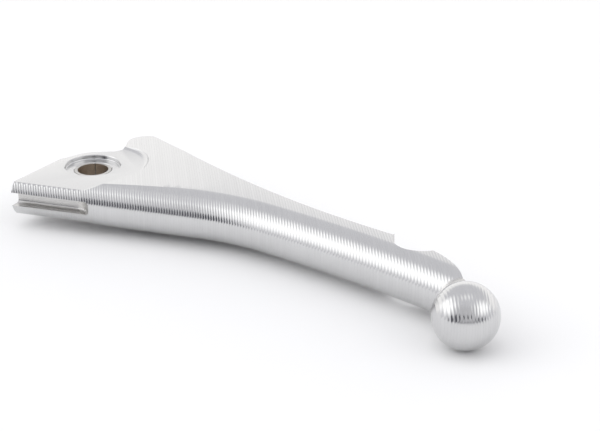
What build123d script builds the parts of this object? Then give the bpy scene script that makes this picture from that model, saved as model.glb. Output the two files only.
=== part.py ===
"""Ball-end brake lever blade, milled from billet, with a wrapped pivot bush.

Frame: the origin is on the pivot axis, half way up the thickness. +Z is the pivot axis, +X runs from
the pivot to the centre of the ball, and +Y is the flat finger side. The half-round front edge, called
the nose here, is on the -Y side. The blade is the same above and below z = 0.
"""
from build123d import *
import os
from math import acos, atan2, cos, degrees, hypot, radians, sin, sqrt

os.makedirs("parts", exist_ok=True)

# ---------------------------------------------------------------- driving dimensions, mm and degrees

# overall
BALL_X = 151.0                  # pivot axis to ball centre
BALL_R = 9.75
BLADE_HALF = 8.05               # half the blade's thickness, and the radius of the nose
HEAD_HALF = 5.4                 # half the thickness of the head round the pivot
FALL_X = 46.0                   # from here to the push lobe the faces fall away along a long arc
FALL_RADIUS = 575.0
FALL_END_X = -10.0              # the arc ends beyond the lobe, over the open end of the head

# axis of the nose, in plan: a straight run, a knee and a long gentle grip
NOSE_START = (-8.19, -19.24)
NOSE_ANGLE = 23.0
KNEE_X = 45.0
KNEE_RADIUS = 82.0
GRIP_ANGLE = 5.0
GRIP_RADIUS = 482.0
GRIP_END_X = 150.0

# end of the head
END_CORNER = (-12.9, -2.3)      # where the slanted end face meets the boss
END_ANGLE = -79.6               # direction of the end face, from that corner to the nose
END_ARC_R = 8.0                 # hollow between the corner and the boss
BOSS_R = 11.7

# push lobe behind the pivot
HOLLOW_AT = (-7.0, 15.6)        # hollow between the boss and the lobe
HOLLOW_R = 4.2
LOBE_X = -2.5
LOBE_R = 5.1

# finger face and end notch
FINGER_R = 325.0
FINGER_LOW = (93.0, 16.0)       # the finger face's lowest point
FINGER_END_X = 112.4
NOTCH_AT = (120.6, 19.2)
NOTCH_R = 8.9
NOTCH_START = 222.0             # where the short wall at the finger face's end meets the notch
NOTCH_END = -31.0               # the peak between the notch and the neck
NECK_END = (146.3, 5.3)
NECK_R = 35.0
NECK_FILLET = 2.0               # between the neck and the ball
EDGE_BREAK = 0.7                # chamfer along the finger face

# pocket round the pivot: its wall leans outwards, most of all where it runs out through the nose
POCKET_R = 17.8                 # the wall's foot
POCKET_EXIT = -12.0             # the foot leaves its circle here and runs out straight
RIM_AT = (-1.3, -2.5)           # the wall's upper edge
RIM_R = 21.1
RIM_EXIT = -14.0
RIM_RISE = 2.2                  # height of the upper edge above the pocket's floor
COUNTERBORE_R = 9.05
COUNTERBORE_FLOOR = 3.95        # height of the thrust faces above the middle plane
COUNTERBORE_FILLET = 0.4
COUNTERBORE_BREAK = 0.2         # chamfer round the counterbore's mouth
BORE_R = 6.0
BORE_CHAMFER = 0.3

# slot in the front edge of the head
SLOT_HALF = 2.2
SLOT_DEPTH = 3.6
SLOT_FILLET = 1.1
SLOT_END_X = 8.0               # the channel starts to run out here
SLOT_RUN_OUT_R = 6.5

# pivot bush: a strip of lined steel, rolled round, with a butt seam
BUSH_HALF = 3.9
LINER_THICKNESS = 0.3
PIN_BORE_R = 5.0
SEAM_ANGLE = 130.0
SEAM_GAP = 0.25

FAR = 60.0                      # cutting shapes reach this far past the solid


# ---------------------------------------------------------------- plan geometry helpers

def polar(centre, radius, angle):
    """Point at an angle on a circle in plan."""
    return (centre[0] + radius * cos(radians(angle)), centre[1] + radius * sin(radians(angle)))


def bearing(start, end):
    """Direction from one plan point to another, in degrees."""
    return degrees(atan2(end[1] - start[1], end[0] - start[0]))


def short_arc(centre, radius, start_angle, end_angle):
    """Arc about a centre, the short way round from one angle to the other."""
    sweep_angle = (end_angle - start_angle + 180) % 360 - 180
    middle = start_angle + sweep_angle / 2
    return ThreePointArc(
        polar(centre, radius, start_angle),
        polar(centre, radius, middle),
        polar(centre, radius, end_angle),
    )


def cross_tangent(first, first_r, second, second_r, side):
    """Angles, on each circle, of a line that touches both and passes between their centres.

    The side is 1 or -1, and picks one of the two such lines.
    """
    distance = hypot(second[0] - first[0], second[1] - first[1])
    lean = degrees(acos((first_r + second_r) / distance))
    angle = bearing(first, second) + side * lean
    return angle, angle + 180


# ---------------------------------------------------------------- the nose's axis

slope = radians(NOSE_ANGLE)
KNEE_START = (KNEE_X, NOSE_START[1] + (KNEE_X - NOSE_START[0]) * sin(slope) / cos(slope))
KNEE_CENTRE = polar(KNEE_START, KNEE_RADIUS, NOSE_ANGLE - 90)
KNEE_END = polar(KNEE_CENTRE, KNEE_RADIUS, GRIP_ANGLE + 90)
GRIP_CENTRE = polar(KNEE_END, GRIP_RADIUS, GRIP_ANGLE - 90)
GRIP_END_ANGLE = degrees(acos((GRIP_END_X - GRIP_CENTRE[0]) / GRIP_RADIUS))
NOSE_TAIL = polar(NOSE_START, -8.0, NOSE_ANGLE)     # the axis starts a little beyond the end face


def nose_axis():
    """The plan path that the centre of the half-round nose follows."""
    return [
        Line(NOSE_TAIL, KNEE_START),
        short_arc(KNEE_CENTRE, KNEE_RADIUS, NOSE_ANGLE + 90, GRIP_ANGLE + 90),
        short_arc(GRIP_CENTRE, GRIP_RADIUS, GRIP_ANGLE + 90, GRIP_END_ANGLE),
    ]


def front_line(x, depth=0.0):
    """Point on the head's straight front edge, set back by a depth from the nose's tip."""
    on_axis = (x, NOSE_START[1] + (x - NOSE_START[0]) * sin(slope) / cos(slope))
    return polar(on_axis, BLADE_HALF - depth, NOSE_ANGLE - 90)


# ---------------------------------------------------------------- the plan outline

FINGER_CENTRE = (FINGER_LOW[0], FINGER_LOW[1] + FINGER_R)
LOBE_AT = (LOBE_X, FINGER_CENTRE[1] - sqrt((FINGER_R + LOBE_R) ** 2 - (LOBE_X - FINGER_CENTRE[0]) ** 2))
FINGER_START = bearing(FINGER_CENTRE, LOBE_AT)
FINGER_END = -degrees(acos((FINGER_END_X - FINGER_CENTRE[0]) / FINGER_R))


def end_hollow():
    """Centre of the small hollow that joins the end corner to the boss."""
    corner_r = hypot(*END_CORNER)
    centre_r = BOSS_R + END_ARC_R
    lean = degrees(acos((centre_r ** 2 + corner_r ** 2 - END_ARC_R ** 2) / (2 * centre_r * corner_r)))
    return polar((0, 0), centre_r, bearing((0, 0), END_CORNER) - lean)


def rear_outline():
    """Edges of the plan outline from the end corner, round the lobe and along the finger face."""
    hollow_end = end_hollow()
    boss_leave, hollow_meet = cross_tangent((0, 0), BOSS_R, HOLLOW_AT, HOLLOW_R, 1)
    hollow_leave, lobe_meet = cross_tangent(HOLLOW_AT, HOLLOW_R, LOBE_AT, LOBE_R, -1)
    finger_end = polar(FINGER_CENTRE, FINGER_R, FINGER_END)
    notch_start = polar(NOTCH_AT, NOTCH_R, NOTCH_START)
    peak = polar(NOTCH_AT, NOTCH_R, NOTCH_END)
    return [
        short_arc(hollow_end, END_ARC_R, bearing(hollow_end, END_CORNER), bearing(hollow_end, (0, 0))),
        short_arc((0, 0), BOSS_R, bearing((0, 0), hollow_end), boss_leave),
        Line(polar((0, 0), BOSS_R, boss_leave), polar(HOLLOW_AT, HOLLOW_R, hollow_meet)),
        short_arc(HOLLOW_AT, HOLLOW_R, hollow_meet, hollow_leave),
        Line(polar(HOLLOW_AT, HOLLOW_R, hollow_leave), polar(LOBE_AT, LOBE_R, lobe_meet)),
        short_arc(LOBE_AT, LOBE_R, lobe_meet, bearing(LOBE_AT, FINGER_CENTRE)),
        short_arc(FINGER_CENTRE, FINGER_R, FINGER_START, FINGER_END),
        Line(finger_end, notch_start),
        short_arc(NOTCH_AT, NOTCH_R, NOTCH_START, NOTCH_END),
        RadiusArc(peak, NECK_END, NECK_R),
    ]


def flat_prism(edges, half_height):
    """Solid between -half_height and +half_height over a closed plan outline."""
    return extrude(make_face(Wire(edges)), amount=half_height, both=True)


def closing_lines(edges, corners):
    """Straight edges that close a path: from its end, through the corners, back to its start."""
    points = [edges[-1] @ 1] + [Vector(*corner) for corner in corners] + [edges[0] @ 0]
    return [Line(start, end) for start, end in zip(points, points[1:])]


# ---------------------------------------------------------------- lever blade

def nose():
    """The half-round front edge, as a round bar along the nose's axis."""
    path = Wire(nose_axis())
    section = Plane(origin=path @ 0, z_dir=path % 0) * Circle(BLADE_HALF)
    return sweep(section, path=path)


def behind_nose():
    """Slab that holds everything behind the nose's axis, at the blade's full thickness."""
    axis = nose_axis()
    return flat_prism(axis + closing_lines(axis, [(GRIP_END_X, FAR), (-FAR / 2, FAR)]), BLADE_HALF)


def plan_prism():
    """Prism of the whole plan outline, open to the front so that it leaves the nose alone."""
    rear = rear_outline()
    end_front = polar(END_CORNER, FAR / 2, END_ANGLE)
    corners = [(BALL_X, 0), (BALL_X, -BALL_R), end_front]
    return flat_prism(rear + closing_lines(rear, corners), BLADE_HALF)


def above_fall():
    """The metal cut away where the face falls towards the lobe."""
    centre = (FALL_X, BLADE_HALF - FALL_RADIUS)
    end_angle = degrees(acos((FALL_END_X - FALL_X) / FALL_RADIUS))
    fall = [short_arc(centre, FALL_RADIUS, 90, end_angle)]
    face = make_face(Wire(fall + closing_lines(fall, [(FALL_END_X, FAR), (FALL_X, FAR)])))
    return extrude(Plane.XZ * face, amount=FAR, both=True)


def pocket_outline(centre, radius, exit_angle):
    """Circle round the pivot that runs out straight at one side and is open to the end of the head."""
    exit_point = polar(centre, radius, exit_angle)
    exit_far = polar(exit_point, FAR, exit_angle - 90)
    wall = ThreePointArc(
        polar(centre, radius, 180),
        polar(centre, radius, (180 + exit_angle) / 2),
        exit_point,
    )
    path = [wall, Line(exit_point, exit_far)]
    return make_face(Wire(path + closing_lines(path, [(-FAR, -FAR), (-FAR, centre[1])])))


def pocket():
    """The round pocket in the top face, which also runs over the whole end of the head."""
    foot = Pos(0, 0, HEAD_HALF) * pocket_outline((0, 0), POCKET_R, POCKET_EXIT)
    rim = Pos(0, 0, HEAD_HALF + RIM_RISE) * pocket_outline(RIM_AT, RIM_R, RIM_EXIT)
    return loft([foot, rim], ruled=True) + extrude(rim, amount=FAR)


def slot():
    """Channel along the front edge of the head, run out round at its inner end."""
    wall_start = front_line(-FAR, SLOT_DEPTH)
    wall_end = front_line(SLOT_END_X, SLOT_DEPTH)
    wall = Line(wall_start, wall_end)
    run_out_centre = polar(wall_end, SLOT_RUN_OUT_R, NOSE_ANGLE - 90)
    run_out = short_arc(run_out_centre, SLOT_RUN_OUT_R, NOSE_ANGLE + 90, NOSE_ANGLE)
    run_out_end = polar(run_out_centre, SLOT_RUN_OUT_R, NOSE_ANGLE)
    corners = [polar(run_out_end, FAR / 4, NOSE_ANGLE - 90), front_line(-FAR, -FAR / 4)]
    channel = flat_prism([wall, run_out] + closing_lines([wall, run_out], corners), SLOT_HALF)
    inner_edges = [
        edge for edge in channel.edges()
        if abs(abs(edge.center().Z) - SLOT_HALF) < 0.01
        and min(wall.distance_to(edge.center()), run_out.distance_to(edge.center())) < SLOT_HALF + 0.01
    ]
    return fillet(inner_edges, SLOT_FILLET)


def pivot_bore():
    """Through hole for the bush, with small chamfers, and the two counterbores over it."""
    hole = Cylinder(BORE_R, 2 * FAR)
    mouth = Pos(0, 0, COUNTERBORE_FLOOR - BORE_CHAMFER / 2)
    cone = mouth * Cone(BORE_R, BORE_R + BORE_CHAMFER, BORE_CHAMFER)
    top = Pos(0, 0, COUNTERBORE_FLOOR + FAR / 2) * Cylinder(COUNTERBORE_R, FAR)
    top = fillet(top.edges().sort_by(Axis.Z)[0], COUNTERBORE_FILLET)
    edge_break = Pos(0, 0, HEAD_HALF) * Cone(
        COUNTERBORE_R - COUNTERBORE_BREAK, COUNTERBORE_R + COUNTERBORE_BREAK, 2 * COUNTERBORE_BREAK
    )
    half = cone + top + edge_break
    return hole + half + mirror(half, about=Plane.XY)


def finger_edge_break():
    """The ring that chamfers the finger face's upper edge; it fades out where the face falls away."""
    beyond = 1.0
    section = Polyline(
        (FINGER_R - beyond, BLADE_HALF - EDGE_BREAK - beyond),
        (FINGER_R + EDGE_BREAK + beyond, BLADE_HALF + beyond),
        (FINGER_R - beyond, BLADE_HALF + beyond),
        close=True,
    )
    ring = revolve(Plane.XZ * make_face(section), axis=Axis.Z, revolution_arc=FINGER_END - FINGER_START)
    return Pos(*FINGER_CENTRE, 0) * Rot(0, 0, FINGER_START) * ring


def with_ball(blade):
    """The blade with the ball joined to its neck by a fillet."""
    ball_centre = Vector(BALL_X, 0, 0)
    joined = blade + Pos(ball_centre) * Sphere(BALL_R)
    meeting = [
        edge for edge in joined.edges()
        if edge.center().X < BALL_X
        and all(abs((vertex.center() - ball_centre).length - BALL_R) < 0.01 for vertex in edge.vertices())
    ]
    return fillet(meeting, NECK_FILLET)


def lever_blade():
    """The blade, the neck and the ball: one piece of billet."""
    blade = (nose() + behind_nose()) & plan_prism()
    for cut in (above_fall(), pocket(), finger_edge_break()):
        blade = blade - cut - mirror(cut, about=Plane.XY)
    return with_ball(blade - slot() - pivot_bore())


# ---------------------------------------------------------------- pivot bush

def rolled_ring(outer_r, inner_r):
    """Ring with a narrow seam, as rolled from strip."""
    ring = Cylinder(outer_r, 2 * BUSH_HALF) - Cylinder(inner_r, 2 * BUSH_HALF)
    seam = Pos(outer_r, 0, 0) * Box(2 * outer_r, SEAM_GAP, 2 * BUSH_HALF)
    return ring - Rot(0, 0, SEAM_ANGLE) * seam


LINER_R = PIN_BORE_R + LINER_THICKNESS

parts = {
    "lever_blade": lever_blade(),
    "pivot_bush": rolled_ring(BORE_R, LINER_R),
    "bush_liner": rolled_ring(LINER_R, PIN_BORE_R),
}
for name, shape in parts.items():
    export_step(shape, f"parts/{name}.step")
    print(name, round(shape.volume), "mm3", shape.bounding_box())
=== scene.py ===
"""Ball-end brake lever blade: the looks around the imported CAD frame.

The blade's surface is built pass by pass, as the ball-nose cutter left it, and then cut to its outline.
Lengths are in millimetres until a mesh is made, and in metres after that.
"""
from math import acos, asin, atan2, cos, degrees, hypot, radians, sin, sqrt, tan

import bpy
import numpy as np
from mathutils import Matrix, Vector


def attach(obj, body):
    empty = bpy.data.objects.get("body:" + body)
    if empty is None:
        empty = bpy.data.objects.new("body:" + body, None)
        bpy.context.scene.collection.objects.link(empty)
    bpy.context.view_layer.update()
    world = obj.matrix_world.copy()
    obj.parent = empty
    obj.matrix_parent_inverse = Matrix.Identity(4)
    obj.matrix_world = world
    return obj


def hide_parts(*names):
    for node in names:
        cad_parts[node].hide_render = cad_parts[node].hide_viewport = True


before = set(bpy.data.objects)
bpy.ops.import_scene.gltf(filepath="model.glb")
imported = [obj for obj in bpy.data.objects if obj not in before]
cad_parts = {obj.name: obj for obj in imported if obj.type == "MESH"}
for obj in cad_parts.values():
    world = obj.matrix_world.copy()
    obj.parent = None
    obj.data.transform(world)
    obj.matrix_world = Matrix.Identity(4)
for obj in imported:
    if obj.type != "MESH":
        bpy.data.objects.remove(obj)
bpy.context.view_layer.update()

MM = 0.001

# ---------------------------------------------------------------- sizes shared with the CAD, mm and degrees

BALL_X = 151.0
BALL_R = 9.75
BLADE_HALF = 8.05
HEAD_HALF = 5.4
FALL_X = 46.0                   # the faces fall away from here towards the lobe
FALL_RADIUS = 575.0

NOSE_START = (-8.19, -19.24)
NOSE_ANGLE = 23.0
KNEE_X = 45.0
KNEE_RADIUS = 82.0
GRIP_ANGLE = 5.0
GRIP_RADIUS = 482.0

END_CORNER = (-12.9, -2.3)
END_ANGLE = -79.6
END_ARC_R = 8.0
BOSS_R = 11.7
HOLLOW_AT = (-7.0, 15.6)
HOLLOW_R = 4.2
LOBE_X = -2.5
LOBE_R = 5.1
FINGER_R = 325.0
FINGER_LOW = (93.0, 16.0)
FINGER_END_X = 112.4
NOTCH_AT = (120.6, 19.2)
NOTCH_R = 8.9
NOTCH_START = 222.0
NOTCH_END = -31.0
NECK_END = (146.3, 5.3)
NECK_R = 35.0
EDGE_BREAK = 0.7

POCKET_R = 17.8                 # the pocket wall's foot
POCKET_EXIT = -12.0
RIM_AT = (-1.3, -2.5)           # the pocket wall's upper edge
RIM_R = 21.1
RIM_EXIT = -14.0
RIM_RISE = 2.2
COUNTERBORE_R = 9.05
COUNTERBORE_FLOOR = 3.95
COUNTERBORE_BREAK = 0.2
BORE_R = 6.0
BORE_CHAMFER = 0.3
POCKET_FILLET = 1.6
COUNTERBORE_FILLET = 0.4

SLOT_HALF = 2.2
SLOT_DEPTH = 3.6
SLOT_FILLET = 1.1
SLOT_END_X = 8.0
SLOT_RUN_OUT_R = 6.5

NECK_BLEND = 3.0                # how far the neck and the ball blend into each other
NECK_SINK = 0.05                # the blend lies this far inside the milled faces where it isn't needed
NECK_TIP_X = 145.5              # the neck's end, inside the ball
NECK_AIM = (141.6, 5.8)         # middle of the neck, where the blend's rings are headed from the ball
NECK_RINGS = (1.0, 12.5)        # the blend's ends, from the ball's centre towards that point

FAR = 60.0

# ---------------------------------------------------------------- how the cutter ran

PASS_ANGLE = 48.0               # the passes are vertical planes, side by side along this direction
PASS_PITCH = 0.79
PASS_ZERO = 0.2                 # one pass goes through here
PASS_SAMPLES = 4                # mesh planes for each pass
CUTTER_R = 2.0                  # gives cusps 0.04 mm high
LINK_CUTTER_R = 1.1             # the cutter was smaller where it linked its passes
LINK_GAP = 0.4                  # passes are joined in pairs this far short of the head's flat face
SHARP_ANGLE = 9.0               # an edge that turns more than this is a crease, the cusps among them
LINKS_END = -4.2                # the joined passes stop here, where the pocket runs out through the nose

# ---------------------------------------------------------------- extent and fineness of the meshes

BLANK_ACROSS = (-34, 112)       # the blank's ends, across the passes
BLANK_BACK = 75.0               # its back, along the passes
BLANK_ARCS = 21                 # angles from the nose's tip to its top
LINK_ZONE = (-11, 2)            # round the head's edge the angles are closer, from here to here
LINK_ARCS = 15
FALL_ACROSS = (-40, 66)         # the ends of the cut towards the lobe, across the passes
FALL_START_X = -20.0
FALL_STATIONS = 23
FALL_CLEAR = 0.003              # that cut stays this far above the nominal face
WALL_STEPS = 90
RUN_OUT_STEPS = 16
SLOT_STEPS = 8
FINGER_STEPS = 240
BALL_POLE = 0.9995              # the ball's mesh is closed this far out, as a share of its radius
BALL_LAST = 0.995               # and its last full ring is here
BALL_STEP = 5                   # degrees
NECK_LEVELS = 70
NECK_POINTS = 90
SEARCH_REACH = 120.0            # places on a pass are looked for this far from the pivot
SEARCH_HALVINGS = 50
NECK_HALVINGS = 24


# ---------------------------------------------------------------- plan geometry

def polar(centre, radius, angle):
    """Point at an angle on a circle in plan."""
    return (centre[0] + radius * cos(radians(angle)), centre[1] + radius * sin(radians(angle)))


def bearing(start, end):
    """Direction from one plan point to another, in degrees."""
    return degrees(atan2(end[1] - start[1], end[0] - start[0]))


def arc(centre, radius, start_angle, end_angle, step=2.0):
    """Points of an arc, the short way round from one angle to the other."""
    sweep = (end_angle - start_angle + 180) % 360 - 180
    count = max(2, int(abs(sweep) / step) + 1)
    return [polar(centre, radius, start_angle + sweep * i / count) for i in range(count + 1)]


def cross_tangent(first, first_r, second, second_r, side):
    """Angles, on each circle, of a line that touches both and passes between their centres."""
    distance = hypot(second[0] - first[0], second[1] - first[1])
    lean = degrees(acos((first_r + second_r) / distance))
    angle = bearing(first, second) + side * lean
    return angle, angle + 180


def joined(*runs):
    """One list of points from several runs, without repeated points."""
    points = []
    for run in runs:
        for point in run:
            if not points or hypot(point[0] - points[-1][0], point[1] - points[-1][1]) > 1e-4:
                points.append(point)
    return points


SLOPE = tan(radians(NOSE_ANGLE))
KNEE_START = (KNEE_X, NOSE_START[1] + (KNEE_X - NOSE_START[0]) * SLOPE)
KNEE_CENTRE = polar(KNEE_START, KNEE_RADIUS, NOSE_ANGLE - 90)
KNEE_END = polar(KNEE_CENTRE, KNEE_RADIUS, GRIP_ANGLE + 90)
GRIP_CENTRE = polar(KNEE_END, GRIP_RADIUS, GRIP_ANGLE - 90)
FINGER_CENTRE = (FINGER_LOW[0], FINGER_LOW[1] + FINGER_R)
LOBE_AT = (LOBE_X, FINGER_CENTRE[1] - sqrt((FINGER_R + LOBE_R) ** 2 - (LOBE_X - FINGER_CENTRE[0]) ** 2))
FINGER_START = bearing(FINGER_CENTRE, LOBE_AT)
FINGER_END = -degrees(acos((FINGER_END_X - FINGER_CENTRE[0]) / FINGER_R))
PEAK = polar(NOTCH_AT, NOTCH_R, NOTCH_END)
NECK_CHORD = hypot(NECK_END[0] - PEAK[0], NECK_END[1] - PEAK[1])
NECK_MIDDLE = ((PEAK[0] + NECK_END[0]) / 2, (PEAK[1] + NECK_END[1]) / 2)
NECK_CENTRE = polar(NECK_MIDDLE, sqrt(NECK_R ** 2 - NECK_CHORD ** 2 / 4), bearing(PEAK, NECK_END) - 90)


def front_line(x, depth=0.0):
    """Point on the head's straight front edge, set back by a depth from the nose's tip."""
    on_axis = (x, NOSE_START[1] + (x - NOSE_START[0]) * SLOPE)
    return polar(on_axis, BLADE_HALF - depth, NOSE_ANGLE - 90)


def end_hollow():
    """Centre of the small hollow that joins the end corner to the boss."""
    corner_r = hypot(*END_CORNER)
    centre_r = BOSS_R + END_ARC_R
    lean = degrees(acos((centre_r ** 2 + corner_r ** 2 - END_ARC_R ** 2) / (2 * centre_r * corner_r)))
    return polar((0, 0), centre_r, bearing((0, 0), END_CORNER) - lean)


def plan_outline():
    """The blade's outline, open to the front so that it leaves the nose alone."""
    hollow_end = end_hollow()
    boss_leave, hollow_meet = cross_tangent((0, 0), BOSS_R, HOLLOW_AT, HOLLOW_R, 1)
    hollow_leave, lobe_meet = cross_tangent(HOLLOW_AT, HOLLOW_R, LOBE_AT, LOBE_R, -1)
    return joined(
        arc(hollow_end, END_ARC_R, bearing(hollow_end, END_CORNER), bearing(hollow_end, (0, 0)), 3),
        arc((0, 0), BOSS_R, bearing((0, 0), hollow_end), boss_leave, 3),
        arc(HOLLOW_AT, HOLLOW_R, hollow_meet, hollow_leave, 4),
        arc(LOBE_AT, LOBE_R, lobe_meet, bearing(LOBE_AT, FINGER_CENTRE), 4),
        arc(FINGER_CENTRE, FINGER_R, FINGER_START, FINGER_END, 0.3),
        arc(NOTCH_AT, NOTCH_R, NOTCH_START, NOTCH_END, 3),
        arc(NECK_CENTRE, NECK_R, bearing(NECK_CENTRE, PEAK), bearing(NECK_CENTRE, NECK_END), 2),
        [(BALL_X, 0), (BALL_X, -BALL_R), polar(END_CORNER, FAR / 2, END_ANGLE)],
    )


# ---------------------------------------------------------------- mesh helpers

def mesh_object(name, points, faces, smooth=True):
    """Object from points in millimetres."""
    mesh = bpy.data.meshes.new(name)
    mesh.from_pydata((np.asarray(points, float) * MM).tolist(), [], faces)
    mesh.validate()
    mesh.update()
    mesh.polygons.foreach_set("use_smooth", [smooth] * len(mesh.polygons))
    piece = bpy.data.objects.new(name, mesh)
    bpy.context.collection.objects.link(piece)
    return piece


def lofted(name, loops):
    """Closed mesh through loops of points with the same number of points, with a flat face at each end."""
    loops = np.asarray(loops, float)
    rows, columns = loops.shape[:2]
    at = np.arange(rows * columns).reshape(rows, columns)
    after = np.roll(at, -1, axis=1)
    quads = np.stack([at[:-1], after[:-1], after[1:], at[1:]], axis=-1).reshape(-1, 4)
    faces = quads.tolist() + [at[0][::-1].tolist(), at[-1].tolist()]
    piece = mesh_object(name, loops.reshape(-1, 3), faces)
    if signed_volume(piece.data) < 0:
        piece.data.flip_normals()
    return piece


def signed_volume(mesh):
    """Volume of a closed mesh, negative where its faces point inwards."""
    mesh.calc_loop_triangles()
    corners = np.empty(len(mesh.vertices) * 3)
    mesh.vertices.foreach_get("co", corners)
    corners = corners.reshape(-1, 3)
    triangles = np.empty(len(mesh.loop_triangles) * 3, int)
    mesh.loop_triangles.foreach_get("vertices", triangles)
    a, b, c = (corners[triangles.reshape(-1, 3)[:, i]] for i in range(3))
    return float(np.einsum("ij,ij->i", a, np.cross(b, c)).sum() / 6)


def stack(name, levels):
    """Closed mesh through plan outlines at heights: levels are (height, outline)."""
    return lofted(name, [[(x, y, z) for x, y in outline] for z, outline in levels])


def combine(piece, other, operation, material=None):
    """Cuts, adds or intersects, with an exact result, and removes the other object."""
    if material is not None:
        other.data.materials.append(material)
    step = piece.modifiers.new("combine", "BOOLEAN")
    step.operation = operation
    step.solver = "MANIFOLD"
    step.material_mode = "TRANSFER"
    step.object = other
    depsgraph = bpy.context.evaluated_depsgraph_get()
    result = bpy.data.meshes.new_from_object(piece.evaluated_get(depsgraph))
    piece.modifiers.clear()
    piece.data = result
    bpy.data.objects.remove(other)


def mirrored_levels(levels):
    """The same outlines below the middle plane."""
    return [(-z, outline) for z, outline in reversed(levels)]


# ---------------------------------------------------------------- the milled surface

PASS_ACROSS = np.array(polar((0, 0), 1, PASS_ANGLE))
PASS_ALONG = np.array(polar((0, 0), 1, PASS_ANGLE + 90))


def off_pass(across):
    """Distance to the nearest pass, and whether that place lies between two linked passes."""
    turns = (np.asarray(across) - PASS_ZERO) / PASS_PITCH
    return np.abs(turns - np.round(turns)) * PASS_PITCH, np.floor(turns).astype(int) % 2 == 0


def groove(distance, cutter_r=CUTTER_R):
    """Height that the cutter leaves at a distance from its path, counted down from the nominal face."""
    cusp_roughness_and_shade = (PASS_PITCH / 2) ** 2 / (2 * cutter_r)
    return np.minimum(distance ** 2 / (2 * cutter_r), cusp_roughness_and_shade) - cusp_roughness_and_shade


def ahead_of_axis(plan):
    """Signed distance in front of the nose's axis, and the direction that points ahead."""
    plan = np.asarray(plan, float)
    straight = np.array(polar((0, 0), 1, NOSE_ANGLE - 90))
    run = np.array(polar((0, 0), 1, NOSE_ANGLE))
    distance = (plan - NOSE_START) @ straight
    ahead = np.broadcast_to(straight, plan.shape).copy()
    past_knee_start = (plan - KNEE_START) @ run > 0
    knee_end_run = np.array(polar((0, 0), 1, GRIP_ANGLE))
    past_knee_end = (plan - KNEE_END) @ knee_end_run > 0
    for chosen, centre, radius in (
        (past_knee_start & ~past_knee_end, KNEE_CENTRE, KNEE_RADIUS),
        (past_knee_end, GRIP_CENTRE, GRIP_RADIUS),
    ):
        away = np.asarray(centre) - plan
        length = np.linalg.norm(away, axis=-1)
        distance = np.where(chosen, radius - length, distance)
        ahead = np.where(chosen[..., None], away / length[..., None], ahead)
    return distance, ahead


def on_pass(across, wanted):
    """Place along each pass where the distance ahead of the axis has the wanted value."""
    across, wanted = np.broadcast_arrays(np.asarray(across, float), np.asarray(wanted, float))
    low = np.full(across.shape, -SEARCH_REACH)
    high = np.full(across.shape, SEARCH_REACH)
    for _ in range(SEARCH_HALVINGS):
        middle = (low + high) / 2
        plan = across[..., None] * PASS_ACROSS + middle[..., None] * PASS_ALONG
        distance, _ahead = ahead_of_axis(plan)
        low = np.where(distance > wanted, middle, low)
        high = np.where(distance > wanted, high, middle)
    return (low + high) / 2


def pass_planes(start, end):
    """Positions of the mesh planes across the passes."""
    first = int((start - PASS_ZERO) / PASS_PITCH * PASS_SAMPLES)
    last = int((end - PASS_ZERO) / PASS_PITCH * PASS_SAMPLES)
    return PASS_ZERO + np.arange(first, last + 1) * PASS_PITCH / PASS_SAMPLES


def nose_angles():
    """Angles round the nose, from the bottom to the top, closer together where passes are linked."""
    edge = degrees(asin(HEAD_HALF / BLADE_HALF))
    coarse = np.linspace(0, 90, BLANK_ARCS)
    fine = np.linspace(edge + LINK_ZONE[0], edge + LINK_ZONE[1], LINK_ARCS)
    coarse = coarse[(coarse < fine[0] - 1) | (coarse > fine[-1] + 1)]
    half = np.sort(np.concatenate([coarse, fine]))
    return np.concatenate([-half[:0:-1], half])


def milled_blank():
    """Nose and web with the cutter's grooves, longer and wider than the finished blade."""
    across = pass_planes(*BLANK_ACROSS)[:, None]
    angles = np.radians(nose_angles())[None, :]
    along = on_pass(across, BLADE_HALF * np.cos(angles))
    plan = across[..., None] * PASS_ACROSS + along[..., None] * PASS_ALONG
    _distance, ahead = ahead_of_axis(plan)
    off, paired = off_pass(across)
    climb = BLADE_HALF * np.abs(angles)
    link = BLADE_HALF * asin(HEAD_HALF / BLADE_HALF) - LINK_GAP
    beyond = climb - link
    linked = np.where(paired, np.abs(beyond), np.hypot(off, beyond))
    near = np.where(beyond > 0, linked, np.where(paired, np.minimum(off, np.abs(beyond)), off))
    depth = np.where(across < LINKS_END, groove(near, LINK_CUTTER_R), groove(off))
    rise = np.broadcast_to(np.sin(angles)[..., None], ahead[..., :1].shape)
    normal = np.concatenate([ahead * np.cos(angles)[..., None], rise], -1)
    height = BLADE_HALF * np.sin(angles) + 0 * along
    nose = np.concatenate([plan, height[..., None]], -1) + depth[..., None] * normal
    back = groove(off_pass(across)[0])[:, 0]
    behind = across[:, 0, None] * PASS_ACROSS + BLANK_BACK * PASS_ALONG
    top = np.concatenate([behind, (BLADE_HALF + back)[:, None]], -1)[:, None]
    bottom = top * (1, 1, -1)
    return lofted("blade_milled", np.concatenate([bottom, nose, top], axis=1))


def fall_height(x):
    """Height of the face where it falls away towards the lobe."""
    return BLADE_HALF - FALL_RADIUS + sqrt(FALL_RADIUS ** 2 - (FALL_X - x) ** 2)


def fall_cutter(side):
    """What is cut away towards the lobe, with the same grooves as the web."""
    stations = np.linspace(FALL_START_X, FALL_X, FALL_STATIONS)
    loops = []
    for across in pass_planes(*FALL_ACROSS):
        depth = groove(off_pass(across)[0])
        face = [(x, fall_height(x) + FALL_CLEAR) for x in stations] + [(FALL_X + 1, BLADE_HALF + 1)]
        loop = [(x, (across - x * PASS_ACROSS[0]) / PASS_ACROSS[1], side * (z + depth)) for x, z in face]
        roof = [(x, y, side * FAR / 2) for x, y, _z in (loop[-1], loop[0])]
        loops.append(loop + roof)
    return lofted("fall_cutter", loops)


def circle(radius, step=2.5):
    """Closed circle about the pivot."""
    count = int(360 / step)
    return [polar((0, 0), radius, 360 * i / count) for i in range(count)]


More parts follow.
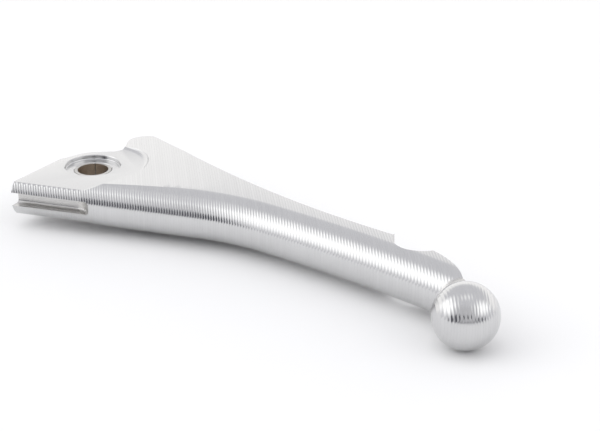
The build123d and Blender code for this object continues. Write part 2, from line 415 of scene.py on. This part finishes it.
def pocket_outline(grow, rise):
    """The pocket's wall at a height above its floor, with the open end of the head."""
    share = rise / RIM_RISE
    outline = []
    for centre, radius, exit_angle in (((0, 0), POCKET_R, POCKET_EXIT), (RIM_AT, RIM_R, RIM_EXIT)):
        exit_far = polar(polar(centre, radius, exit_angle), FAR, exit_angle - 90)
        angles = [exit_angle + (180 - exit_angle) * i / WALL_STEPS for i in range(WALL_STEPS + 1)]
        wall = [polar(centre, radius + grow, angle) for angle in angles]
        outline.append(np.array(wall + [(-FAR, centre[1]), (-FAR, -FAR), exit_far]))
    foot, rim = outline
    return foot + share * (rim - foot)


def counterbore_outline(grow, rise):
    """The counterbore's wall at a height above its floor, with a small chamfer round its mouth."""
    chamfer = max(rise - (HEAD_HALF - COUNTERBORE_FLOOR) + COUNTERBORE_BREAK, 0)
    return circle(COUNTERBORE_R + grow + chamfer)


def rounded_levels(floor, fillet, outline, heights, steps=6):
    """Outlines up from a floor, with a rounded corner between the floor and the wall."""
    levels = []
    for step in range(steps + 1):
        angle = radians(90 * step / steps)
        rise = fillet * (1 - cos(angle))
        levels.append((floor + rise, outline(fillet * (sin(angle) - 1), rise)))
    return levels + [(floor + rise, outline(0, rise)) for rise in heights]


def slot_outline(inset):
    """The slot in plan, with its back wall and its round end moved forward by an inset."""
    wall_end = front_line(SLOT_END_X, SLOT_DEPTH)
    centre = polar(wall_end, SLOT_RUN_OUT_R, NOSE_ANGLE - 90)
    radius = SLOT_RUN_OUT_R - inset
    turns = [NOSE_ANGLE + 90 - 90 * i / RUN_OUT_STEPS for i in range(RUN_OUT_STEPS + 1)]
    run_out = [polar(centre, radius, angle) for angle in turns]
    start = polar(front_line(-FAR / 2, SLOT_DEPTH), inset, NOSE_ANGLE - 90)
    front = [polar(run_out[-1], FAR / 4, NOSE_ANGLE - 90), front_line(-FAR / 2, -FAR / 4)]
    return [start] + run_out + front


def slot_levels():
    """Outlines up the slot's height, with its rounded inner corners."""
    levels = []
    for step in range(SLOT_STEPS + 1):
        angle = radians(90 * step / SLOT_STEPS)
        height = SLOT_HALF - SLOT_FILLET + SLOT_FILLET * sin(angle)
        levels.append((height, slot_outline(SLOT_FILLET * (1 - cos(angle)))))
    return mirrored_levels(levels) + levels


def finger_cutter(side):
    """Ring that breaks the edge of the finger face."""
    beyond = 1.0
    section = (
        (FINGER_R - beyond, BLADE_HALF - EDGE_BREAK - beyond),
        (FINGER_R + EDGE_BREAK + beyond, BLADE_HALF + beyond),
        (FINGER_R - beyond, BLADE_HALF + beyond),
    )
    loops = []
    for step in range(FINGER_STEPS + 1):
        angle = FINGER_START + (FINGER_END - FINGER_START) * step / FINGER_STEPS
        loops.append([(*polar(FINGER_CENTRE, radius, angle), side * z) for radius, z in section])
    return lofted("finger_cutter", loops)


def milled_ball():
    """The ball, ringed by the same passes as the blade."""
    centre_across = BALL_X * PASS_ACROSS[0]
    centre_along = BALL_X * PASS_ALONG[0]
    planes = pass_planes(centre_across - BALL_R, centre_across + BALL_R)
    inner = [plane - centre_across for plane in planes if abs(plane - centre_across) < BALL_LAST * BALL_R]
    offsets = np.array([-BALL_POLE * BALL_R] + inner + [BALL_POLE * BALL_R])
    ring = np.radians(np.arange(0, 360, BALL_STEP))
    section = np.sqrt(BALL_R ** 2 - offsets ** 2)
    off, _paired = off_pass(offsets + centre_across)
    depth = groove(off)
    radius = section * (BALL_R + depth) / BALL_R
    across = centre_across + offsets * (BALL_R + depth) / BALL_R
    along = centre_along + radius[:, None] * np.cos(ring)
    plan = across[:, None, None] * PASS_ACROSS + along[..., None] * PASS_ALONG
    height = radius[:, None] * np.sin(ring)
    return lofted("ball", np.concatenate([plan, height[..., None]], -1))


def neck_ring():
    """The smooth blend between the neck and the ball: rings about the line from the ball into the neck."""
    run = np.array(polar((0, 0), 1, bearing((BALL_X, 0), NECK_AIM)))
    side = np.array((-run[1], run[0]))
    start = np.array((BALL_X, 0)) + np.linspace(*NECK_RINGS, NECK_LEVELS)[:, None, None] * run
    ring = np.radians(np.arange(NECK_POINTS) * 360 / NECK_POINTS)[None, :]
    low = np.zeros((NECK_LEVELS, NECK_POINTS))
    high = low + 2 * BALL_R
    for _ in range(NECK_HALVINGS):
        middle = (low + high) / 2
        plan = start + (middle * np.cos(ring))[..., None] * side
        outside = blend_height(plan, middle * np.sin(ring)) > 0
        low, high = np.where(outside, low, middle), np.where(outside, middle, high)
    plan = start + (low * np.cos(ring))[..., None] * side
    return lofted("neck_ring", np.concatenate([plan, (low * np.sin(ring))[..., None]], -1))


def blend_height(plan, z):
    """Distance outside the ball and neck, where the two are blended into each other."""
    off_ball = np.sqrt((plan[..., 0] - BALL_X) ** 2 + plan[..., 1] ** 2 + z ** 2) - BALL_R
    ahead, _direction = ahead_of_axis(plan)
    off_nose = np.hypot(np.maximum(ahead, 0), z) - BLADE_HALF
    reach = np.clip(plan[..., 0], PEAK[0], NECK_END[0])
    back_wall = NECK_CENTRE[1] + np.sqrt(NECK_R ** 2 - (reach - NECK_CENTRE[0]) ** 2)
    off_neck = np.maximum(np.maximum(off_nose, plan[..., 1] - back_wall), plan[..., 0] - NECK_TIP_X)
    near = np.maximum(NECK_BLEND - np.abs(off_neck - off_ball), 0) / NECK_BLEND
    return np.minimum(off_neck, off_ball) - near ** 2 * NECK_BLEND / 4 + NECK_SINK


def blade(materials):
    """The whole blade in one mesh."""
    milled, wall, floor, channel = materials
    piece = milled_blank()
    piece.data.materials.append(milled)
    outline = plan_outline()
    combine(piece, stack("outline", [(-FAR / 4, outline), (FAR / 4, outline)]), "INTERSECT", wall)
    for side in (1, -1):
        combine(piece, fall_cutter(side), "DIFFERENCE", milled)
        combine(piece, finger_cutter(side), "DIFFERENCE", milled)
    pocket = rounded_levels(HEAD_HALF, POCKET_FILLET, pocket_outline, (RIM_RISE, 2 * RIM_RISE))
    mouth = HEAD_HALF - COUNTERBORE_FLOOR - COUNTERBORE_BREAK
    bore = [
        (0, circle(BORE_R)),
        (COUNTERBORE_FLOOR - BORE_CHAMFER, circle(BORE_R)),
        (COUNTERBORE_FLOOR, circle(BORE_R + BORE_CHAMFER)),
    ] + rounded_levels(COUNTERBORE_FLOOR, COUNTERBORE_FILLET, counterbore_outline, (mouth, mouth + 1))
    combine(piece, stack("pocket", pocket), "DIFFERENCE", floor)
    combine(piece, stack("pocket", mirrored_levels(pocket)), "DIFFERENCE", floor)
    combine(piece, stack("bore", mirrored_levels(bore)[:-1] + bore[1:]), "DIFFERENCE", floor)
    combine(piece, stack("slot", slot_levels()), "DIFFERENCE", channel)
    combine(piece, milled_ball(), "UNION", milled)
    combine(piece, neck_ring(), "UNION", wall)
    piece.data.set_sharp_from_angle(angle=radians(SHARP_ANGLE))
    return piece


# ---------------------------------------------------------------- materials

def math_node(tree, operation, first, second=None, third=None):
    """A math node on numbers or sockets."""
    node = tree.nodes.new("ShaderNodeMath")
    node.operation = operation
    for socket, value in zip(node.inputs, (first, second, third)):
        if isinstance(value, bpy.types.NodeSocket):
            tree.links.new(value, socket)
        elif value is not None:
            socket.default_value = value
    return node.outputs[0]


def place_mm(tree, turn=0.0, stretch=(1, 1, 1)):
    """Object coordinates in millimetres, turned about the pivot and then scaled."""
    place = tree.nodes.new("ShaderNodeTexCoord").outputs["Object"]
    turned = tree.nodes.new("ShaderNodeMapping")
    turned.inputs["Rotation"].default_value = (0, 0, radians(-turn))
    tree.links.new(place, turned.inputs["Vector"])
    scaled = tree.nodes.new("ShaderNodeMapping")
    scaled.inputs["Scale"].default_value = [factor / MM for factor in stretch]
    tree.links.new(turned.outputs["Vector"], scaled.inputs["Vector"])
    return scaled.outputs["Vector"]


def noise(tree, vector, scale, detail=3.0):
    """Noise between about 0.2 and 0.8; the scale is in cycles for each millimetre."""
    node = tree.nodes.new("ShaderNodeTexNoise")
    node.inputs["Scale"].default_value = scale
    node.inputs["Detail"].default_value = detail
    tree.links.new(vector, node.inputs["Vector"])
    return node.outputs["Fac"]


def mapped(tree, value, low, high):
    """A value from 0..1 mapped to low..high."""
    node = tree.nodes.new("ShaderNodeMapRange")
    node.inputs["To Min"].default_value = low
    node.inputs["To Max"].default_value = high
    tree.links.new(value, node.inputs["Value"])
    return node.outputs["Result"]


def new_metal(name):
    """Material, its node tree and its shader, metallic."""
    material = bpy.data.materials.new(name)
    material.use_nodes = True
    tree = material.node_tree
    shader = tree.nodes["Principled BSDF"]
    shader.inputs["Metallic"].default_value = 1
    return material, tree, shader


def tone(tree, shader, brightness, colour):
    """Base colour: one hue, made lighter and darker by a brightness socket."""
    mix = tree.nodes.new("ShaderNodeMix")
    mix.data_type = "RGBA"
    mix.inputs[6].default_value = (0, 0, 0, 1)
    mix.inputs[7].default_value = (*colour, 1)
    tree.links.new(brightness, mix.inputs[0])
    tree.links.new(mix.outputs[2], shader.inputs["Base Color"])


def relief(tree, shader, height, depth_mm, strength=1.0):
    """Bump of a real depth."""
    bump = tree.nodes.new("ShaderNodeBump")
    bump.inputs["Strength"].default_value = strength
    bump.inputs["Distance"].default_value = depth_mm * MM
    tree.links.new(height, bump.inputs["Height"])
    tree.links.new(bump.outputs["Normal"], shader.inputs["Normal"])


ALUMINIUM = (0.66, 0.66, 0.663)
ALUMINIUM_WALL = (0.64, 0.632, 0.622)
STEEL = (0.6, 0.59, 0.57)
STEEL_CUT = (0.6, 0.59, 0.58)
LINING_DARK = (0.42, 0.36, 0.3)
LINING_PALE = (0.78, 0.68, 0.58)


def milled_aluminium():
    """Ball-nose milling: each pass has its own tone, each cusp is a little rougher and has painted shade
    that darkens its colour, and the cutter left fine scratches along it."""
    material, tree, shader = new_metal("aluminium_milled")
    across_along = place_mm(tree, PASS_ANGLE)
    parts = tree.nodes.new("ShaderNodeSeparateXYZ")
    tree.links.new(across_along, parts.inputs[0])
    turns = math_node(tree, "DIVIDE", math_node(tree, "SUBTRACT", parts.outputs["X"], PASS_ZERO), PASS_PITCH)
    nearest = math_node(tree, "ROUND", turns)
    off = math_node(tree, "ABSOLUTE", math_node(tree, "SUBTRACT", turns, nearest))
    cusp_roughness_and_shade = math_node(tree, "POWER", math_node(tree, "MULTIPLY", off, 2.0), 6.0)
    own = tree.nodes.new("ShaderNodeTexWhiteNoise")
    own.noise_dimensions = "1D"
    tree.links.new(nearest, own.inputs["W"])
    scratches = noise(tree, place_mm(tree, PASS_ANGLE, (7.0, 0.35, 0.35)), 1.0)
    cloud = noise(tree, place_mm(tree), 0.06, 2.0)
    bright = mapped(tree, scratches, 0.955, 1.0)
    bright = math_node(tree, "ADD", bright, mapped(tree, own.outputs["Value"], -0.03, 0))
    bright = math_node(tree, "ADD", bright, mapped(tree, cloud, -0.02, 0.02))
    # painted shade: the colour is made a little darker along each cusp line
    bright = math_node(tree, "ADD", bright, math_node(tree, "MULTIPLY", cusp_roughness_and_shade, -0.05))
    tone(tree, shader, bright, ALUMINIUM)
    rough = mapped(tree, scratches, 0.11, 0.21)
    rough = math_node(tree, "ADD", rough, math_node(tree, "MULTIPLY", cusp_roughness_and_shade, 0.12))
    tree.links.new(rough, shader.inputs["Roughness"])
    relief(tree, shader, scratches, 0.0012)
    return material


def side_milled_aluminium(name, turn, streak, band):
    """Side milling: fine streaks that run one way, and a few broad bands."""
    material, tree, shader = new_metal(name)
    streaks = noise(tree, place_mm(tree, turn, streak), 1.0)
    bands = noise(tree, place_mm(tree, turn, band), 1.0, 2.0)
    bright = math_node(tree, "ADD", mapped(tree, streaks, 0.92, 1.0), mapped(tree, bands, -0.04, 0.02))
    tone(tree, shader, bright, ALUMINIUM_WALL)
    tree.links.new(mapped(tree, streaks, 0.2, 0.36), shader.inputs["Roughness"])
    relief(tree, shader, streaks, 0.0025)
    return material


def end_milled_aluminium():
    """End milling: faint rings about the pivot from the cutter's last lap, crossed by fine scratches."""
    material, tree, shader = new_metal("aluminium_floors")
    parts = tree.nodes.new("ShaderNodeSeparateXYZ")
    tree.links.new(place_mm(tree), parts.inputs[0])
    squares = math_node(tree, "ADD", math_node(tree, "POWER", parts.outputs["X"], 2.0),
                        math_node(tree, "POWER", parts.outputs["Y"], 2.0))
    from_pivot = math_node(tree, "SQRT", squares)
    rings = tree.nodes.new("ShaderNodeTexNoise")
    rings.noise_dimensions = "1D"
    rings.inputs["Scale"].default_value = 3.2
    rings.inputs["Detail"].default_value = 4.0
    tree.links.new(from_pivot, rings.inputs["W"])
    scratches = noise(tree, place_mm(tree, 20, (4.0, 1.0, 1.0)), 1.0)
    bright = mapped(tree, rings.outputs["Fac"], 0.93, 1.0)
    bright = math_node(tree, "ADD", bright, mapped(tree, scratches, -0.02, 0.02))
    tone(tree, shader, bright, ALUMINIUM)
    tree.links.new(mapped(tree, scratches, 0.14, 0.26), shader.inputs["Roughness"])
    relief(tree, shader, rings.outputs["Fac"], 0.0015)
    return material


def rolled_steel():
    """Tin-plated steel strip: fine marks round the bush, slightly uneven plating."""
    material, tree, shader = new_metal("bush_steel")
    marks = noise(tree, place_mm(tree, 0, (0.6, 0.6, 9.0)), 1.0)
    plating = noise(tree, place_mm(tree), 1.3)
    bright = math_node(tree, "ADD", mapped(tree, marks, 0.9, 1.0), mapped(tree, plating, -0.05, 0.03))
    tone(tree, shader, bright, STEEL)
    tree.links.new(mapped(tree, plating, 0.22, 0.38), shader.inputs["Roughness"])
    relief(tree, shader, marks, 0.002)
    return material


def bearing_lining():
    """Bronze and polymer lining: a speckled brown-grey running face; its cut ends show bright metal."""
    material, tree, shader = new_metal("bush_lining")
    speckle = noise(tree, place_mm(tree), 6.0, 5.0)
    wear = noise(tree, place_mm(tree, 0, (0.8, 0.8, 2.5)), 1.0)
    normal = tree.nodes.new("ShaderNodeSeparateXYZ")
    tree.links.new(tree.nodes.new("ShaderNodeNewGeometry").outputs["Normal"], normal.inputs[0])
    end_face = math_node(tree, "GREATER_THAN", math_node(tree, "ABSOLUTE", normal.outputs["Z"]), 0.7)
    running = tree.nodes.new("ShaderNodeMix")
    running.data_type = "RGBA"
    running.inputs[6].default_value = (*LINING_DARK, 1)
    running.inputs[7].default_value = (*LINING_PALE, 1)
    paleness = math_node(tree, "ADD", mapped(tree, speckle, 0.1, 0.9), mapped(tree, wear, -0.3, 0.3))
    tree.links.new(paleness, running.inputs[0])
    colour = tree.nodes.new("ShaderNodeMix")
    colour.data_type = "RGBA"
    colour.inputs[7].default_value = (*STEEL_CUT, 1)
    tree.links.new(end_face, colour.inputs[0])
    tree.links.new(running.outputs[2], colour.inputs[6])
    tree.links.new(colour.outputs[2], shader.inputs["Base Color"])
    tree.links.new(mapped(tree, speckle, 0.32, 0.52), shader.inputs["Roughness"])
    relief(tree, shader, speckle, 0.004)
    return material


upright = side_milled_aluminium("aluminium_walls", 0, (5.0, 5.0, 0.12), (0.35, 0.35, 0.03))
lengthwise = side_milled_aluminium("aluminium_slot", NOSE_ANGLE, (0.1, 3.0, 3.0), (0.04, 0.3, 0.3))
lever = blade((milled_aluminium(), upright, end_milled_aluminium(), lengthwise))
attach(lever, "root")
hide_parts("lever_blade")
for node, finish in (("pivot_bush", rolled_steel()), ("bush_liner", bearing_lining())):
    for material_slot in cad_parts[node].material_slots:
        material_slot.material = finish

# ---------------------------------------------------------------- floor, light and camera

FLOOR_HALF = 4000.0
floor_corners = [(x * FLOOR_HALF, y * FLOOR_HALF, 0) for x, y in ((-1, -1), (1, -1), (1, 1), (-1, 1))]
floor = mesh_object("floor", floor_corners, [(0, 1, 2, 3)])
floor.location.z = -BALL_R * MM
PAPER = (0.936, 0.936, 0.936)
PAPER_GRAIN = 2.0                   # grains of the floor's card for each millimetre
PAPER_DEPTH = 0.02                  # how high they stand, in millimetres
paper = bpy.data.materials.new("paper")
paper.use_nodes = True
paper_tree = paper.node_tree
paper_shader = paper_tree.nodes["Principled BSDF"]
paper_shader.inputs["Roughness"].default_value = 0.95
paper_shader.inputs["Specular IOR Level"].default_value = 0.1
grain = noise(paper_tree, place_mm(paper_tree), PAPER_GRAIN)
tone(paper_tree, paper_shader, mapped(paper_tree, grain, 0.985, 1.0), PAPER)
relief(paper_tree, paper_shader, grain, PAPER_DEPTH, 0.3)
floor.data.materials.append(paper)

# The studio: a plain grey room with soft lights. Each patch is the middle of its azimuth and elevation,
# half its size in each, how soft its edge is, all in degrees, and its colour.
ROOM = (0.82, 0.82, 0.85)
STUDIO = [
    (131, 5, 75, 21, 5, (1.26, 1.25, 1.24)),        # pale wall behind the object
    (-48, 25, 50, 30, 8, (0.72, 0.72, 0.74)),       # the dim side, where the camera stands
    (-136, 32, 27, 19, 11, (1.75, 1.75, 1.75)),     # broad soft light on the left
    (20, 34, 25, 16, 9, (1.6, 1.6, 1.6)),           # soft light on the right
    (0, 90, 180, 9, 8, (1.3, 1.3, 1.3)),            # light overhead
    (-48, 4, 60, 4, 4, (0.42, 0.42, 0.44)),         # the table's far edges
    (-91, 8, 10, 15, 4, (0.05, 0.05, 0.07)),        # dark stands beside the camera
    (-3, 9, 7, 5, 3, (0.08, 0.08, 0.1)),
    (-49, 22, 7, 6, 2, (0.02, 0.02, 0.03)),         # the camera
]


def soft_inside(tree, value, middle, half, soft, wraps):
    """1 within half of the middle, falling smoothly to 0 over the soft edge."""
    away = math_node(tree, "SUBTRACT", value, middle)
    if wraps:
        away = math_node(tree, "WRAP", away, 180.0, -180.0)
    away = math_node(tree, "ABSOLUTE", away)
    fall = tree.nodes.new("ShaderNodeMapRange")
    fall.interpolation_type = "SMOOTHSTEP"
    tree.links.new(away, fall.inputs["Value"])
    fall.inputs["From Min"].default_value = half - soft
    fall.inputs["From Max"].default_value = half + soft
    fall.inputs["To Min"].default_value = 1
    fall.inputs["To Max"].default_value = 0
    return fall.outputs["Result"]


def studio_world():
    """World whose light depends on direction only."""
    world = bpy.data.worlds.new("studio")
    world.use_nodes = True
    tree = world.node_tree
    place = tree.nodes.new("ShaderNodeTexCoord")
    parts = tree.nodes.new("ShaderNodeSeparateXYZ")
    tree.links.new(place.outputs["Generated"], parts.inputs[0])
    azimuth = math_node(tree, "ARCTAN2", parts.outputs["Y"], parts.outputs["X"])
    azimuth = math_node(tree, "DEGREES", azimuth)
    elevation = math_node(tree, "DEGREES", math_node(tree, "ARCSINE", parts.outputs["Z"]))
    light = None
    for middle, height, half_wide, half_high, soft, colour in STUDIO:
        across = soft_inside(tree, azimuth, middle, half_wide, soft, True)
        up = soft_inside(tree, elevation, height, half_high, soft, False)
        mix = tree.nodes.new("ShaderNodeMix")
        mix.data_type = "RGBA"
        tree.links.new(math_node(tree, "MULTIPLY", across, up), mix.inputs[0])
        if light is None:
            mix.inputs[6].default_value = (*ROOM, 1)
        else:
            tree.links.new(light, mix.inputs[6])
        mix.inputs[7].default_value = (*colour, 1)
        light = mix.outputs[2]
    tree.links.new(light, tree.nodes["Background"].inputs["Color"])
    return world


bpy.context.scene.world = studio_world()
overhead = bpy.data.objects.new("overhead", bpy.data.lights.new("overhead", "SUN"))
overhead.data.energy = 0.5
overhead.data.angle = radians(70)
overhead.rotation_euler = (radians(25), radians(-20), 0)
overhead.visible_glossy = False     # it lights the floor, and the metal shows the studio only
bpy.context.collection.objects.link(overhead)

CAMERA_AT = (0.412249, -0.362247, 0.222798)
RIGHT = Vector((0.753501, 0.657441, -0.002787)).normalized()
FORWARD = Vector((-0.604024, 0.690593, -0.397790)).normalized()
camera_data = bpy.data.cameras.new("camera")
camera = bpy.data.objects.new("camera", camera_data)
bpy.context.collection.objects.link(camera)
up = RIGHT.cross(FORWARD).normalized()
right = FORWARD.cross(up).normalized()
camera.matrix_world = Matrix((
    (right.x, up.x, -FORWARD.x, CAMERA_AT[0]),
    (right.y, up.y, -FORWARD.y, CAMERA_AT[1]),
    (right.z, up.z, -FORWARD.z, CAMERA_AT[2]),
    (0, 0, 0, 1),
))
camera_data.sensor_width = 36
camera_data.lens = 108.02
camera_data.shift_x = -0.0228
camera_data.shift_y = 0.0018
camera_data.clip_start = 0.01
camera_data.clip_end = 20
bpy.context.scene.camera = camera
bpy.context.scene.view_settings.view_transform = "Standard"
